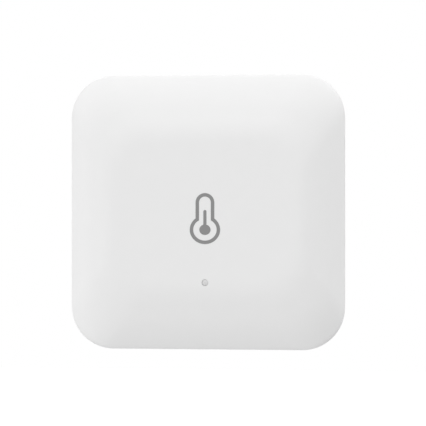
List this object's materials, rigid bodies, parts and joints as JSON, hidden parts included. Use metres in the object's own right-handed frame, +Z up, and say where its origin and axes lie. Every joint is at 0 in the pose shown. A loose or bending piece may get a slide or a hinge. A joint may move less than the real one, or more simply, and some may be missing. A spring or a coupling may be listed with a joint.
{
  "type": "temperature humidity sensor",
  "caption": "Wall-mounted square temperature and humidity sensor: soft-shouldered white case, thermometer sign, status light, side vents, pull-off housing and coin cell.",
  "frame": {"origin": "centre of the adhesive pad's rear face, where it meets the wall", "axes": "+Z up the wall, -Y out of the wall towards the viewer (the face looks along -Y), +X to the right as seen from the front"},
  "size_m": [0.043, 0.014, 0.043],
  "materials": {
    "case_white": "fine satin moulding, warm-neutral white",
    "plate_white": "finely textured moulding, white",
    "pad_foam": "closed-cell foam tape with an adhesive face",
    "cushion_foam": "soft black foam",
    "sign_grey": "flat mid-grey ink",
    "clear_plastic": "clear moulded plastic, slightly milky",
    "lamp_resin": "cloudy resin",
    "board_green": "green solder mask over glass laminate",
    "module_blue": "blue solder mask over glass laminate",
    "screw_steel": "zinc-plated steel",
    "shield_tin": "tin-plated sheet",
    "chip_black": "matt moulding compound",
    "capacitor_amber": "amber moulding with a darker end",
    "ceramic_tan": "ceramic body with tinned ends",
    "resistor_black": "black film with tinned ends",
    "plunger_white": "plain moulded plastic",
    "holder_black": "black heat-resistant moulding",
    "contact_nickel": "nickel-plated spring strip",
    "cell_steel": "nickel-plated steel with a fine satin turn",
    "gasket_grey": "moulded seal"
  },
  "bodies": {
    "wall_plate": {"back_plate": "plate_white", "adhesive_pad": "pad_foam", "cell_cushion": "cushion_foam"},
    "housing": {"front_shell": "case_white", "symbol_outline": "sign_grey", "symbol_stem": "sign_grey", "light_pipe": "clear_plastic", "status_led": "lamp_resin", "circuit_board": "board_green", "board_screws": "screw_steel", "radio_module_board": "module_blue", "radio_shield": "shield_tin", "radio_chip": "chip_black", "sensor_chip": "chip_black", "timing_crystal": "shield_tin", "buffer_capacitor": "capacitor_amber", "chip_capacitors": "ceramic_tan", "chip_resistors": "resistor_black", "reset_switch_body": "chip_black", "reset_switch_cover": "shield_tin", "cell_holder": "holder_black", "positive_contact": "contact_nickel", "negative_contact": "contact_nickel"},
    "coin_cell": {"cell_can": "cell_steel", "cell_gasket": "gasket_grey", "cell_cap": "cell_steel"},
    "reset_button": {"reset_plunger": "plunger_white"}
  },
  "joints": [
    {"name": "housing_pull_off", "type": "slide", "parent": "wall_plate", "child": "housing", "axis": [0, -1, 0], "range_m": [0, 0.026]},
    {"name": "cell_lift", "type": "slide", "parent": "housing", "child": "coin_cell", "axis": [0, 1, 0], "range_m": [0, 0.0065]},
    {"name": "reset_press", "type": "slide", "parent": "housing", "child": "reset_button", "axis": [-1, 0, 0], "range_m": [0, 0.00025], "stiffness_N_per_m": 6000}
  ],
  "couplings": [
    {"joint": "cell_lift", "follows": "housing_pull_off", "ratio": 0.25}
  ]
}
